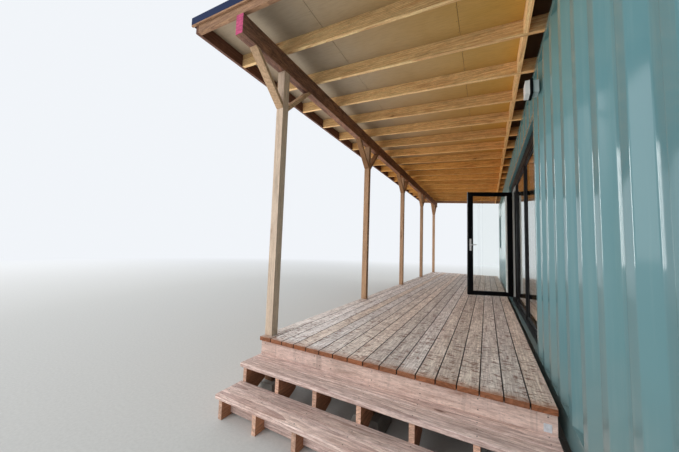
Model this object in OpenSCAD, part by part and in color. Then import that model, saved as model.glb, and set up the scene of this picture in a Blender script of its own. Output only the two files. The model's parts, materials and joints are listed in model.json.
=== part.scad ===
// Shipping container cabin: a forty foot high cube container on piers, with a timber veranda,
// two steps and a single pitch roof that falls from the veranda's eave to the container's back.

/* [Container] */
// Outside length of the container
cont_l = 12192; // [11000:1:12800]
// Outside width of the container
cont_w = 2438; // [2300:1:2600]
// Outside height of the container
cont_h = 2896; // [2800:1:2950]
// Height of the container's underside above the ground
cont_lift = 340; // [300:5:450]
// Thickness of the pressed wall and roof sheet
sheet_t = 2; // [1.5:0.1:3]
// Distance from one wall rib to the next
rib_pitch = 278; // [260:1:300]
// Width of each flat face of a wall rib
rib_flat = 71; // [60:1:80]
// Depth of the wall ribs
rib_depth = 36; // [25:1:40]
// Radius of the bends in the pressed sheets
bend_r = 24; // [8:1:40]
// Distance from one roof rib to the next
roof_rib_pitch = 209; // [180:1:240]
// Width of each flat face of a roof rib
roof_rib_flat = 80; // [60:1:85]
// Depth of the container roof's ribs
roof_rib_depth = 20; // [12:1:24]
// Height of the bottom side rail
bottom_rail_h = 160; // [145:1:175]
// Width that the bottom side rail's flanges reach in
rail_flange = 45; // [42:1:50]
// Thickness of the bottom side rail's plate
rail_t = 5; // [4:0.5:8]
// Side of the square top side rail
top_rail = 60; // [50:1:70]
// Height of the floor's cross members
cross_h = 122; // [100:1:130]
// Thickness of the container's plywood floor
floor_t = 28; // [24:1:30]
// Distance from the corner posts to the first and the last cross member
cross_in = 200; // [100:1:300]
// Number of cross members under the floor
cross_count = 30; // [20:1:40]
// Number of concrete piers under each side of the container
pier_rows = 5; // [3:1:7]
// Side of each square concrete pier
pier_w = 300; // [240:5:400]

/* [Cargo doors] */
// Thickness of a cargo door leaf
cargo_t = 50; // [40:1:60]
// Gap between the two cargo doors and around them
cargo_gap = 12; // [8:1:20]
// Diameter of a locking bar
lock_bar_d = 34; // [28:1:40]
// Number of pressed ribs across each cargo door
cargo_ribs = 5; // [3:1:7]

/* [Lining] */
// Distance from the wall's outside face to the lining's inside face
wall_build = 110; // [90:1:140]
// Thickness of the lining boards
lining_t = 12; // [9:1:18]
// Distance from the container's top to the ceiling lining's underside
ceiling_drop = 135; // [131:1:200]

/* [Glazed opening] */
// Distance from the deck's near edge to the glazed opening
glaz_y = 1140; // [800:5:1600]
// Width of each fixed light between frame members
light_w = 1145; // [800:5:1300]
// Number of fixed lights beside the door
light_count = 2; // [1:1:3]
// Clear width of the doorway
doorway_w = 880; // [850:5:1000]
// Height of the frame's sill member
sill_h = 67; // [50:1:100]
// Distance from the container's top down to the glazed opening's top
opening_drop = 416; // [350:1:500]
// Height of the frame's head member
head_h = 130; // [50:1:150]
// Width of the frame's jambs and mullions
frame_w = 50; // [40:1:70]
// Depth that the frame stands back from the wall's outside face
frame_back = 40; // [38:1:60]
// Width of the steel frame welded round each opening
reveal_w = 50; // [40:1:60]
// Width of a fixed light's sash members
sash_w = 40; // [30:1:60]
// Thickness of all the glass
glass_t = 8; // [6:1:24]

/* [Glass door] */
// Thickness of the door leaf
leaf_t = 45; // [38:1:50]
// Width of the leaf's stiles
stile_w = 100; // [60:1:120]
// Height of the leaf's top and bottom rails
leaf_rail_h = 76; // [60:1:120]
// Running gap round the leaf
leaf_gap = 5; // [5:0.5:8]
// Angle at which the leaf stands open
leaf_open = 68; // [0:1:108]
// Length of the handle's back plate
handle_h = 240; // [180:5:300]
// Height of the handle's lever above the leaf's lower edge
handle_up = 1010; // [900:5:1100]

/* [Window] */
// Distance from the deck's near edge to the window
window_y = 8400; // [5500:5:8500]
// Width of the window
window_w = 950; // [600:5:1000]
// Height of the window
window_h = 1080; // [600:5:1200]
// Width of the window frame's members
window_frame_w = 45; // [35:1:60]

/* [Deck] */
// Height of the deck's top above the container's floor
deck_over = 32; // [0:1:36]
// Number of deck boards
board_count = 17; // [12:1:18]
// Width of a deck board
board_w = 136; // [120:1:142]
// Gap between deck boards
board_gap = 4; // [2:0.5:8]
// Thickness of deck boards, joists, rafters, fascia boards and treads
board_t = 38; // [32:1:45]
// Gap between the deck and the container
deck_gap = 50; // [30:1:80]
// Length that the deck boards reach past the rim boards
board_nose = 30; // [0:1:40]
// Height of the deck's joists
joist_h = 140; // [120:1:180]
// Distance from one joist to the next
joist_pitch = 610; // [400:1:650]
// Height of the deck's rim boards
rim_h = 184; // [160:1:190]
// Distance from the deck's outer side to the joint in its near rim board
rim_joint = 665; // [400:5:1600]
// Height of the bearers below the joists
bearer_h = 140; // [100:1:150]
// Height of the concrete pier blocks
block_h = 110; // [90:1:120]
// Width of a pier block at its foot
block_w = 280; // [220:1:320]
// Width of a pier block at its top
block_top_w = 200; // [160:1:220]

/* [Steps] */
// Rise from one tread to the next
rise = 168; // [150:1:175]
// Distance from one tread's front edge to the next
run = 250; // [240:1:276]
// Number of stringers that carry the treads
stringer_count = 7; // [4:1:9]
// Distance that the treads reach past the stringers' front edges
nosing = 26; // [10:1:40]
// Distance from the deck's side in to the outer stringers' faces
stringer_in = 29; // [0:1:300]
// Distance from the deck's outer side in to the treads' ends
tread_in = 10; // [0:1:29]

/* [Veranda frame] */
// Number of posts
post_count = 5; // [3:1:5]
// Side of each square post
post_w = 89; // [80:1:100]
// Distance from one post to the next
post_pitch = 2438.4; // [2200:0.1:2500]
// Distance from the deck's near edge to the first post
post_inset = 64; // [60:1:120]
// Distance from the container's wall to the posts' inner faces
post_reach = 2333; // [2200:1:2335]
// Height of the roof beam
beam_h = 188; // [180:1:240]
// Length that the roof beam runs past the first and last post
beam_past = 589; // [400:1:700]
// Length of a knee brace's foot, along the beam and down the post
brace_leg = 420; // [300:5:500]

/* [Roof] */
// Fall of the roof towards the container's back for each unit across
roof_slope = 0.059; // [0.05:0.001:0.06]
// Distance from the container's faces in to the roof plates
plate_set = 42; // [5:1:50]
// Height of the thinner roof plate, on the container's back rail, at its low edge
plate_back_h = 21; // [12:1:40]
// Height of a rafter
rafter_h = 140; // [120:1:190]
// Distance from one rafter to the next
rafter_pitch = 609.6; // [580:0.1:620]
// Distance from the container's wall to the roof's front edge
roof_reach = 3070; // [2800:5:3200]
// Distance that the roof reaches past the container's back
roof_back = 300; // [200:5:400]
// Distance from the roof's front edge in to the eave board
eave_set = 52; // [30:1:80]
// Thickness of the roof's sheathing
sheath_t = 12; // [9:1:18]
// Width of a sheathing panel
sheath_w = 1219; // [1200:1:1220]
// Height of the metal covering's ribs
cover_rib_h = 19; // [12:1:30]
// Distance from one rib of the metal covering to the next
cover_pitch = 305; // [200:1:400]
// Thickness of the metal covering and its edge trim
cover_t = 1; // [0.8:0.1:2]
// Height of the roof's edge trim
trim_h = 75; // [60:1:100]
// Height of the strip on the outside of each end rafter
strip_h = 60; // [40:1:80]
// Thickness of the strip on the outside of each end rafter
strip_t = 19; // [12:1:25]
// Distance from the container's wall out to the blocking between the rafters
blocking_out = 79; // [60:1:150]

/* [Wall light] */
// Distance from the deck's near edge to the wall light
lamp_y = 780; // [600:5:900]
// Distance from the container's top down to the wall light's centre
lamp_down = 296; // [200:1:330]
// Side of the wall light's dark rim
lamp_rim = 140; // [120:1:160]

/* [Hidden] */
$fn = 32;

// Overall extent of the building, which sets the origin at the middle of its footprint
roof_w = roof_reach + cont_w + roof_back + 2 * cover_t;
post_line_l = (post_count - 1) * post_pitch + post_w;
deck_l = 2 * post_inset + post_line_l;
roof_past = beam_past - post_inset + strip_t + cover_t;
total_l = cont_l + roof_past;

// Places along the building
cont_y0 = -total_l / 2;
cont_y1 = cont_y0 + cont_l;
deck_y1 = cont_y1;
deck_y0 = deck_y1 - deck_l;
post_y0 = deck_y0 + post_inset;
beam_y0 = post_y0 - beam_past;
beam_y1 = post_y0 + post_line_l + beam_past;

// Places across the building
wall_x = roof_reach + cover_t - roof_w / 2;
back_x = wall_x + cont_w;
deck_x1 = wall_x - deck_gap;
board_pitch = board_w + board_gap;
deck_w = board_count * board_pitch - board_gap;
deck_x0 = deck_x1 - deck_w;
post_x1 = wall_x - post_reach;
post_x0 = post_x1 - post_w;
eave_x = wall_x - roof_reach;
roof_x1 = back_x + roof_back;

// Heights
cont_top = cont_lift + cont_h;
wall_z0 = cont_lift + bottom_rail_h;
wall_z1 = cont_top - top_rail;
cross_drop = 20;
cross_top = bottom_rail_h - cross_drop;
floor_top = cont_lift + cross_top + floor_t;
deck_h = floor_top + deck_over;
joist_z0 = deck_h - board_t - joist_h;
bearer_z0 = joist_z0 - bearer_h;
ceiling_z = cont_top - ceiling_drop;

// Container frame members
casting = [162, 178, 118];
post_side = casting[1];
end_post_t = 60;
door_set = 45;
end_rib_depth = 45;
bend_steps = 2;
door_end_y = cont_y0 + cargo_t + door_set;

// Glazed opening
frame_d = wall_build - frame_back;
lights_w = light_count * (light_w + frame_w);
open_y0 = deck_y0 + glaz_y;
open_y1 = open_y0 + frame_w + lights_w + doorway_w + frame_w;
open_z1 = cont_top - opening_drop;
light_z0 = floor_top + sill_h;
light_z1 = open_z1 - head_h;
doorway_h = light_z1 - light_z0;
frame_x = wall_x + frame_back;
door_y1 = open_y1 - frame_w;
door_y0 = door_y1 - doorway_w;
stop_t = wall_build - frame_back - leaf_t - leaf_gap;
stop_w = 15;
sash_in = 5;
sash_d = 40;
hinge_r = 7;
hinge_x = frame_x - hinge_r - 1;
hinge_y = door_y1 - leaf_gap / 2;
leaf_w = doorway_w - 2 * leaf_gap;
leaf_h = doorway_h - 2 * leaf_gap;
leaf_z0 = light_z0 + leaf_gap;

// Window, its head level with the doorway's head
window_y0 = deck_y0 + window_y;
window_y1 = window_y0 + window_w;
window_z1 = light_z1;
window_z0 = window_z1 - window_h;

// Roof planes: the rafters' underside falls evenly to the plate on the container's back rail
seat_gap = 0.1;
sheath_up = rafter_h + seat_gap;
cover_up = sheath_up + sheath_t + seat_gap;
function roof_z(x) = cont_top + plate_back_h + roof_slope * (back_x - plate_set - x);
beam_z0 = roof_z(post_x1) - beam_h;

// A straight sided block between two opposite corners
module block(low, high) {
    translate(low) cube(high - low);
}

// Extrudes an outline drawn in x and z along the building from y0 to y1
module along_y(y0, y1) {
    translate([0, y1, 0]) rotate([90, 0, 0]) linear_extrude(y1 - y0) children();
}

// Extrudes an outline drawn in y and z across the building from x0 to x1
module along_x(x0, x1) {
    translate([x0, 0, 0]) rotate([90, 0, 90]) linear_extrude(x1 - x0) children();
}

// A band of the roof between two lines across it, given its surfaces' heights above the rafters' underside
module roof_band(x0, x1, low, high) {
    polygon([[x0, roof_z(x0) + low], [x1, roof_z(x1) + low],
        [x1, roof_z(x1) + high], [x0, roof_z(x0) + high]]);
}

// A member's outline from a level underside up to the rafters
module under_roof(x0, x1, low) {
    polygon([[x0, low], [x1, low], [x1, roof_z(x1) - seat_gap], [x0, roof_z(x0) - seat_gap]]);
}

// Points of one bend of a pressed sheet: an arc that turns from one slope angle to another about the corner
function bend(corner, radius, from, to) =
    let (side = to > from ? 1 : -1, reach = radius * tan(abs(to - from) / 2),
        start = corner - reach * [cos(from), sin(from)],
        centre = start + side * radius * [-sin(from), cos(from)])
    [for (i = [0:bend_steps])
        let (a = from + (to - from) * i / bend_steps) centre + side * radius * [sin(a), -cos(a)]];

// Points of one rib: up to the full depth, along its flat and down again, with a rounded bend at each corner
function rib(slope, flat, depth, radius) =
    let (angle = atan(depth / slope))
    concat(bend([0, 0], radius, 0, angle), bend([slope, depth], radius, angle, 0),
        bend([slope + flat, depth], radius, 0, -angle), bend([2 * slope + flat, 0], radius, -angle, 0));

// One surface of a ribbed sheet: whole ribs with a flat between each two and an even margin at both ends
function rib_points(length, pitch, flat, depth, radius) =
    let (count = floor(length / pitch), margin = (length - count * pitch + flat) / 2)
    concat([[0, 0]],
        [for (i = [0:count - 1], p = rib(pitch / 2 - flat, flat, depth, radius)) [margin + i * pitch, 0] + p],
        [[length, 0]]);

// A ribbed sheet drawn in plan: runs along the first axis, ribs and thickness grow along the second
module ribbed_outline(length, pitch, flat, depth, thick, radius) {
    line = rib_points(length, pitch, flat, depth, radius);
    last = len(line) - 1;
    polygon(concat(line, [for (i = [last:-1:0]) line[i] + [0, thick]]));
}

// The whole pressed side wall between the corner posts, before its openings are cut
module side_sheet(y0, y1, z0, z1) {
    run_l = cont_l - 2 * post_side;
    intersection() {
        translate([wall_x, cont_y0 + post_side, z0]) mirror([1, -1, 0])
            linear_extrude(z1 - z0) ribbed_outline(run_l, rib_pitch, rib_flat, rib_depth, sheet_t, bend_r);
        block([wall_x - 1, y0, z0 - 1], [wall_x + rib_depth + sheet_t + 1, y1, z1 + 1]);
    }
}

module deck_boards() {
    color("#a58f86") for (i = [0:board_count - 1])
        block([deck_x0 + i * board_pitch, deck_y0, deck_h - board_t],
            [deck_x0 + i * board_pitch + board_w, deck_y1, deck_h]);
}

// Joists run across the deck, between the two long rim boards
module deck_joists() {
    first = deck_y0 + board_nose + board_t;
    last = deck_y1 - board_nose - board_t;
    count = floor((last - first - board_t) / joist_pitch) + 1;
    step = (last - first - board_t) / (count - 1);
    color("#9a7a5c") for (i = [0:count - 1])
        block([deck_x0 + board_t, first + i * step, joist_z0],
            [deck_x1 - board_t, first + i * step + board_t, deck_h - board_t]);
}

// Rim boards: one at each end, which the steps meet, and one along each side
module deck_rim() {
    z0 = deck_h - board_t - rim_h;
    z1 = deck_h - board_t;
    y0 = deck_y0 + board_nose;
    y1 = deck_y1 - board_nose;
    joint = 1;
    color("#c9a48a") {
        block([deck_x0, y0, z0], [deck_x0 + rim_joint, y0 + board_t, z1]);
        block([deck_x0 + rim_joint + joint, y0, z0], [deck_x1, y0 + board_t, z1]);
        block([deck_x0, y1 - board_t, z0], [deck_x1, y1, z1]);
        block([deck_x0, y0 + board_t, z0], [deck_x0 + board_t, y1 - board_t, z1]);
        block([deck_x1 - board_t, y0 + board_t, z0], [deck_x1, y1 - board_t, z1]);
    }
}

bearer_w = 2 * board_t;
bearer_x0 = deck_x0 + board_t + bearer_w / 2;
bearer_x1 = deck_x1 - 2 * bearer_w;
bearer_xs = [bearer_x0, (bearer_x0 + bearer_x1) / 2, bearer_x1];

// Bearers carry the joists, the outer one close inside the rim and under the posts
module deck_bearers() {
    color("#9a7a5c") for (x = bearer_xs)
        block([x - bearer_w / 2, deck_y0 + board_nose + board_t, bearer_z0],
            [x + bearer_w / 2, deck_y1 - board_nose - board_t, joist_z0]);
}

module at_piers() {
    for (x = bearer_xs, i = [0:post_count - 1])
        translate([x, post_y0 + post_w / 2 + i * post_pitch, 0]) children();
}

module deck_stubs() {
    color("#8f6a4c") at_piers()
        block([-post_w / 2, -post_w / 2, block_h], [post_w / 2, post_w / 2, bearer_z0]);
}

// Concrete pier blocks with sloping sides
module pier_blocks() {
    color("#8d8d88") at_piers() intersection() {
        translate([-block_w / 2, 0, 0]) along_x(0, block_w) block_side();
        translate([0, -block_w / 2, 0]) along_y(0, block_w) block_side();
    }
}

module block_side() {
    foot = 30;
    polygon([[-block_w / 2, 0], [block_w / 2, 0], [block_w / 2, foot], [block_top_w / 2, block_h],
        [-block_top_w / 2, block_h], [-block_w / 2, foot]]);
}

rim_y = deck_y0 + board_nose;
tread_w = 2 * board_w + board_gap;

// Two boards with rounded front edges make each tread
module tread(front, top) {
    for (i = [0, 1]) {
        y = front + i * board_pitch;
        along_x(deck_x0 + tread_in, deck_x1) translate([y, top - board_t]) tread_section();
    }
}

module tread_section() {
    round_r = 8;
    hull() {
        translate([round_r, round_r]) circle(round_r);
        translate([round_r, board_t - round_r]) circle(round_r);
        translate([board_w - 1, 0]) square([1, board_t]);
    }
}

upper_y = rim_y - tread_w;
lower_y = upper_y - run;

module upper_tread() {
    color("#c9a99a") tread(upper_y, deck_h - rise);
}

module lower_tread() {
    color("#c9a99a") tread(lower_y, deck_h - 2 * rise);
}

stringer_step = (deck_w - 2 * stringer_in - board_t) / (stringer_count - 1);

// The outer face of a stringer
function stringer_x(i) = deck_x0 + stringer_in + i * stringer_step;

// Sawn stringers stand on the ground and meet the deck's near rim board
module step_stringers() {
    upper_z = deck_h - rise - board_t;
    lower_z = deck_h - 2 * rise - board_t;
    foot = 190;
    heel = 150;
    color("#c79f80") for (i = [0:stringer_count - 1]) {
        along_x(stringer_x(i), stringer_x(i) + board_t)
            polygon([[lower_y + nosing, 0], [lower_y + nosing + foot, 0], [rim_y, heel], [rim_y, upper_z],
                [upper_y + nosing, upper_z], [upper_y + nosing, lower_z], [lower_y + nosing, lower_z]]);
    }
}

// Short rails between the stringers, behind the lower tread's front edge
module step_rail() {
    rail_h = 89;
    rail_z = 20;
    rail_y = lower_y + nosing + 95;
    color("#b98f6c") for (i = [0:stringer_count - 2])
        block([stringer_x(i) + board_t, rail_y, rail_z],
            [stringer_x(i + 1), rail_y + board_t, rail_z + rail_h]);
}

module roof_posts() {
    color("#c8a184") for (i = [0:post_count - 1])
        block([post_x0, post_y0 + i * post_pitch, deck_h],
            [post_x1, post_y0 + i * post_pitch + post_w, beam_z0]);
}

// A brace on each side of every post, in the plane of the beam
module knee_braces() {
    cut = board_t * sqrt(2);
    color("#c39d7c") for (i = [0:post_count - 1]) {
        y0 = post_y0 + i * post_pitch;
        along_x(post_x0, post_x1) {
            polygon([[y0, beam_z0 - brace_leg], [y0, beam_z0 - brace_leg + cut],
                [y0 - brace_leg + cut, beam_z0], [y0 - brace_leg, beam_z0]]);
            polygon([[y0 + post_w, beam_z0 - brace_leg], [y0 + post_w + brace_leg, beam_z0],
                [y0 + post_w + brace_leg - cut, beam_z0], [y0 + post_w, beam_z0 - brace_leg + cut]]);
        }
    }
}

module roof_beam() {
    color("#6d4a3c") along_y(beam_y0, beam_y1)
        under_roof(post_x0, post_x1, beam_z0);
}

board_x0 = eave_x + eave_set;
board_x1 = roof_x1 - eave_set;
rafter_count = floor((post_line_l - post_w) / rafter_pitch + 0.5) + 1;
rafter_step = (post_line_l - post_w) / (rafter_count - 1);

// Common rafters: one centred on every post's near face and three between each two posts
function rafter_y(i) = post_y0 + i * rafter_step - board_t / 2;

module rafters() {
    color("#d3a165") for (i = [0:rafter_count - 1])
        along_y(rafter_y(i), rafter_y(i) + board_t)
            roof_band(board_x0 + board_t, board_x1 - board_t, 0, rafter_h);
}

// Blocks between the rafters close the veranda's ceiling just short of the container
module roof_blocking() {
    x0 = wall_x - blocking_out - board_t;
    color("#d9b15c") {
        along_y(beam_y0 + board_t, rafter_y(0)) roof_band(x0, x0 + board_t, 0, rafter_h);
        for (i = [0:rafter_count - 2])
            along_y(rafter_y(i) + board_t, rafter_y(i + 1)) roof_band(x0, x0 + board_t, 0, rafter_h);
        along_y(rafter_y(rafter_count - 1) + board_t, beam_y1 - board_t)
            roof_band(x0, x0 + board_t, 0, rafter_h);
    }
}

module eave_boards() {
    color("#4a342a") {
        along_y(beam_y0, beam_y1) roof_band(board_x0, board_x0 + board_t, 0, rafter_h);
        along_y(beam_y0, beam_y1) roof_band(board_x1 - board_t, board_x1, 0, rafter_h);
    }
}

// End rafters close the roof's two gable edges, level with the beam's ends
module barge_rafters() {
    color("#cfa98c") {
        along_y(beam_y0, beam_y0 + board_t) roof_band(board_x0 + board_t, board_x1 - board_t, 0, rafter_h);
        along_y(beam_y1 - board_t, beam_y1) roof_band(board_x0 + board_t, board_x1 - board_t, 0, rafter_h);
    }
}

module barge_strips() {
    color("#d8b8a6") {
        along_y(beam_y0 - strip_t, beam_y0) roof_band(eave_x, roof_x1, rafter_h - strip_h, rafter_h);
        along_y(beam_y1, beam_y1 + strip_t) roof_band(eave_x, roof_x1, rafter_h - strip_h, rafter_h);
    }
}

// Sheathing panels with open joints along the building
module roof_sheathing() {
    joint = 3;
    count = ceil((roof_x1 - eave_x) / sheath_w);
    color("#a5976f") for (i = [0:count - 1]) {
        x0 = eave_x + i * sheath_w;
        x1 = min(x0 + sheath_w - joint, roof_x1);
        along_y(beam_y0 - strip_t, beam_y1 + strip_t) roof_band(x0, x1, sheath_up, sheath_up + sheath_t);
    }
}

// Ribbed metal sheet laid down the slope
module roof_covering() {
    length = beam_y1 - beam_y0 + 2 * strip_t;
    fall = atan(roof_slope);
    color("#26324f") translate([eave_x, beam_y0 - strip_t, roof_z(eave_x) + cover_up]) rotate([0, fall, 0])
        rotate([90, 0, 90]) linear_extrude((roof_x1 - eave_x) / cos(fall) - 1)
            cover_outline(length);
}

module cover_outline(length) {
    count = floor(length / cover_pitch);
    margin = (length - count * cover_pitch) / 2;
    rib_w = 60;
    top_w = 24;
    foot = (rib_w - top_w) / 2;
    line = concat([[0, 0]],
        [for (i = [0:count - 1], p = [[0, 0], [foot, cover_rib_h], [foot + top_w, cover_rib_h], [rib_w, 0]])
            [margin + i * cover_pitch + (cover_pitch - rib_w) / 2 + p[0], p[1]]],
        [[length, 0]]);
    last = len(line) - 1;
    polygon(concat(line, [for (i = [last:-1:0]) line[i] + [0, cover_t]]));
}

// Folded metal edge round the whole roof, hung from the covering's level
module roof_trim() {
    high = cover_up + cover_rib_h;
    low = high - trim_h;
    y0 = beam_y0 - strip_t;
    y1 = beam_y1 + strip_t;
    color("#1f2c4d") {
        for (y = [y0 - cover_t, y1]) along_y(y, y + cover_t) roof_band(eave_x, roof_x1, low, high);
        for (x = [eave_x - cover_t, roof_x1])
            along_y(y0 - cover_t, y1 + cover_t) roof_band(x, x + cover_t, low, high);
    }
}

// Bevelled timber plates on the container's two top rails carry the rafters
module roof_plates() {
    color("#b48a5a") for (x = [wall_x + plate_set, back_x - plate_set - post_w])
        along_y(beam_y0, beam_y1) under_roof(x, x + post_w, cont_top);
}

wall_y0 = cont_y0 + post_side;
wall_y1 = cont_y1 - post_side;

module side_wall_near() {
    color("#6f9294") side_sheet(wall_y0, open_y0 - reveal_w, wall_z0, wall_z1);
}

module side_wall_header() {
    color("#6f9294") side_sheet(open_y0 - reveal_w, open_y1 + reveal_w, open_z1 + reveal_w, wall_z1);
}

module side_wall_far() {
    color("#6f9294") difference() {
        side_sheet(open_y1 + reveal_w, wall_y1, wall_z0, wall_z1);
        block([wall_x - 2, window_y0 - reveal_w, window_z0 - reveal_w],
            [wall_x + wall_build, window_y1 + reveal_w, window_z1 + reveal_w]);
    }
}

module back_wall() {
    color("#6a8d90") translate([wall_x + back_x, 0, 0]) mirror([1, 0, 0])
        side_sheet(wall_y0, wall_y1, wall_z0, wall_z1);
}

// The blind end's pressed sheet, between its two posts
module end_wall() {
    flat = 60;
    pitch = 250;
    color("#6a8d90") translate([wall_x + end_post_t, cont_y1 - 5, cont_lift + casting[2]])
        mirror([0, 1, 0]) linear_extrude(cont_h - 2 * casting[2])
            ribbed_outline(cont_w - 2 * end_post_t, pitch, flat, end_rib_depth, sheet_t, bend_r);
}

cargo_z0 = cont_lift + casting[2] + cargo_gap;
cargo_z1 = cont_top - casting[2] - cargo_gap;
cargo_x0 = wall_x + end_post_t + cargo_gap;
cargo_leaf_w = (cont_w - 2 * end_post_t - 3 * cargo_gap) / 2;
cargo_frame = 80;
cargo_pitch = (cargo_z1 - cargo_z0 - 2 * cargo_frame) / cargo_ribs;
panel_set = 8;
panel_t = 3;
cargo_handle_up = 2 * cargo_pitch;

// A framed leaf with a panel pressed into wide horizontal ribs
module cargo_door(x0) {
    y0 = cont_y0 + door_set;
    slope_w = 30;
    tolerance = 0.01;
    difference() {
        block([x0, y0, cargo_z0], [x0 + cargo_leaf_w, y0 + cargo_t, cargo_z1]);
        block([x0 + cargo_frame, y0 - 1, cargo_z0 + cargo_frame],
            [x0 + cargo_leaf_w - cargo_frame, y0 + cargo_t + 1, cargo_z1 - cargo_frame]);
    }
    translate([x0 + cargo_frame, y0 + panel_set, cargo_z0 + cargo_frame]) rotate([90, 0, 90])
        linear_extrude(cargo_leaf_w - 2 * cargo_frame) mirror([1, -1, 0])
            ribbed_outline(cargo_ribs * cargo_pitch, cargo_pitch - tolerance, cargo_pitch / 2 - slope_w,
                cargo_t / 2, panel_t, bend_r);
}

module cargo_door_left() {
    color("#6a8d90") cargo_door(cargo_x0);
}

module cargo_door_right() {
    color("#6a8d90") cargo_door(cargo_x0 + cargo_leaf_w + cargo_gap);
}

strap_t = 6;

// Two locking bars on each leaf, held by guides on the leaf's outer flats and by keepers on the end frame
module locking_bars() {
    r = lock_bar_d / 2;
    guide = [90, 70];
    keeper = [80, 60];
    bar_y = cont_y0 + r + strap_t;
    z0 = cont_lift + casting[2] / 2;
    z1 = cont_top - casting[2] / 2;
    color("#8b9496") for (leaf = [0, 1], side = [0.2, 0.78]) {
        x = cargo_x0 + leaf * (cargo_leaf_w + cargo_gap) + side * cargo_leaf_w;
        translate([x, bar_y, z0]) cylinder(h = z1 - z0, r = r);
        for (i = [1:cargo_ribs - 1])
            translate([x, cont_y0, cargo_z0 + cargo_frame + i * cargo_pitch])
                block([-guide[0] / 2, 0, -guide[1] / 2], [guide[0] / 2, door_set + panel_set, guide[1] / 2]);
        for (z = [z0, z1 - keeper[1]])
            block([x - keeper[0] / 2, cont_y0, z], [x + keeper[0] / 2, cont_y0 + door_set, z + keeper[1]]);
        translate([x, bar_y, cargo_z0 + cargo_frame + cargo_handle_up]) mirror([side > 0.5 ? 1 : 0, 0, 0])
            bar_handle(r);
    }
}

// A flat lever that lies across the leaf from its bar to a catch
module bar_handle(r) {
    lever = [300, 12, 32];
    catch_w = 50;
    back = door_set + panel_set - r - strap_t;
    block([0, -lever[1] / 2, -lever[2] / 2], [lever[0], lever[1] / 2, lever[2] / 2]);
    block([lever[0] - catch_w, lever[1] / 2, -lever[2]], [lever[0], back, lever[2]]);
}

// Four hinges carry each cargo door leaf: a barrel beside the corner post and a blade on the leaf's face
module cargo_hinges() {
    barrel_r = 15;
    blade = [170, 10, 90];
    y = cont_y0 + door_set;
    color("#6a8d90") for (i = [0:3]) {
        z = cargo_z0 + cargo_frame + (cargo_ribs * cargo_pitch) * (i + 0.5) / 4 - blade[2] / 2;
        for (side = [0, 1]) translate([side * (wall_x + back_x), 0, z]) mirror([side, 0, 0]) {
            block([wall_x + end_post_t, y - blade[1], 0], [wall_x + end_post_t + blade[0], y, blade[2]]);
            translate([wall_x + end_post_t + barrel_r, y - barrel_r, 0]) cylinder(h = blade[2], r = barrel_r);
        }
    }
}

// Pressed roof sheet, its ribs running across the container
module container_roof() {
    drop = 4;
    color("#6f9294") translate([wall_x + top_rail, cont_y0 + post_side, cont_top - drop])
        mirror([0, 0, 1]) rotate([90, 0, 90]) linear_extrude(cont_w - 2 * top_rail)
            ribbed_outline(cont_l - 2 * post_side, roof_rib_pitch, roof_rib_flat, roof_rib_depth,
                sheet_t, bend_r);
}

module container_floor() {
    edge = end_post_t + 1;
    tuck = 20;
    color("#a98b63") block([wall_x + edge, lining_y0 - tuck, cont_lift + cross_top],
        [back_x - edge, lining_y1 + tuck, floor_top]);
}

module top_rails() {
    color("#6a8d90") for (x = [wall_x, back_x - top_rail])
        block([x, wall_y0, cont_top - top_rail], [x + top_rail, wall_y1, cont_top]);
}

module rail_section() {
    difference() {
        square([rail_flange, bottom_rail_h]);
        translate([rail_t, rail_t]) square([rail_flange, bottom_rail_h - 2 * rail_t]);
    }
}

module bottom_rails() {
    color("#5f8184") {
        along_y(wall_y0, wall_y1) translate([wall_x, cont_lift]) rail_section();
        along_y(wall_y0, wall_y1) translate([back_x, cont_lift]) mirror([1, 0]) rail_section();
    }
}

// Channel shaped cross members between the bottom rails' webs
module cross_members() {
    web = 4;
    flange = 45;
    first = wall_y0 + cross_in;
    step = (wall_y1 - cross_in - first) / (cross_count - 1);
    color("#4f6c70") for (i = [0:cross_count - 1])
        translate([0, first + i * step, 0]) along_x(wall_x + rail_t, back_x - rail_t)
            translate([-flange / 2, cont_lift + cross_top - cross_h]) difference() {
                square([flange, cross_h]);
                translate([web, web]) square([flange, cross_h - 2 * web]);
            }
}

// Corner posts with a header above and a sill below, between the castings
module end_frame(y0, set_back) {
    beam_t = 100;
    z0 = cont_lift + casting[2];
    z1 = cont_top - casting[2];
    for (x = [wall_x, back_x - end_post_t]) block([x, y0, z0], [x + end_post_t, y0 + post_side, z1]);
    for (z = [cont_lift, z1])
        block([wall_x + casting[0], y0 + set_back, z],
            [back_x - casting[0], y0 + set_back + beam_t, z + casting[2]]);
}

module door_end_frame() {
    color("#6a8d90") end_frame(cont_y0, door_set);
}

module blind_end_frame() {
    color("#6a8d90") translate([0, cont_y0 + cont_y1, 0]) mirror([0, 1, 0])
        end_frame(cont_y0, 0);
}

// Castings at the container's eight corners, each with an oval hole on its three outer faces
module corner_castings() {
    middle = [wall_x + back_x, cont_y0 + cont_y1, cont_lift + cont_top] / 2;
    color("#5a7a7d") for (mx = [0, 1], my = [0, 1], mz = [0, 1])
        translate(middle) mirror([mx, 0, 0]) mirror([0, my, 0]) mirror([0, 0, mz]) translate(-middle)
            translate([wall_x, cont_y0, cont_lift]) casting_piece();
}

module casting_piece() {
    wall = 28;
    slot_w = 64;
    slot_l = 104;
    difference() {
        block([0, 0, 0], casting);
        translate([casting[0] / 2, casting[1] / 2, -1]) rotate(90) oval(slot_l, slot_w, wall + 1);
        translate([casting[0] / 2, wall, casting[2] / 2]) rotate([90, 0, 0]) oval(slot_l, slot_w, wall + 1);
        translate([-1, casting[1] / 2, casting[2] / 2]) rotate([90, 0, 90]) oval(slot_l, slot_w, wall + 1);
    }
}

// A slot with round ends, its length along the first axis
module oval(length, width, depth) {
    linear_extrude(depth) {
        square([length - width, width], center = true);
        for (side = [-1, 1]) translate([side * (length - width) / 2, 0]) circle(width / 2);
    }
}

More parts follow.
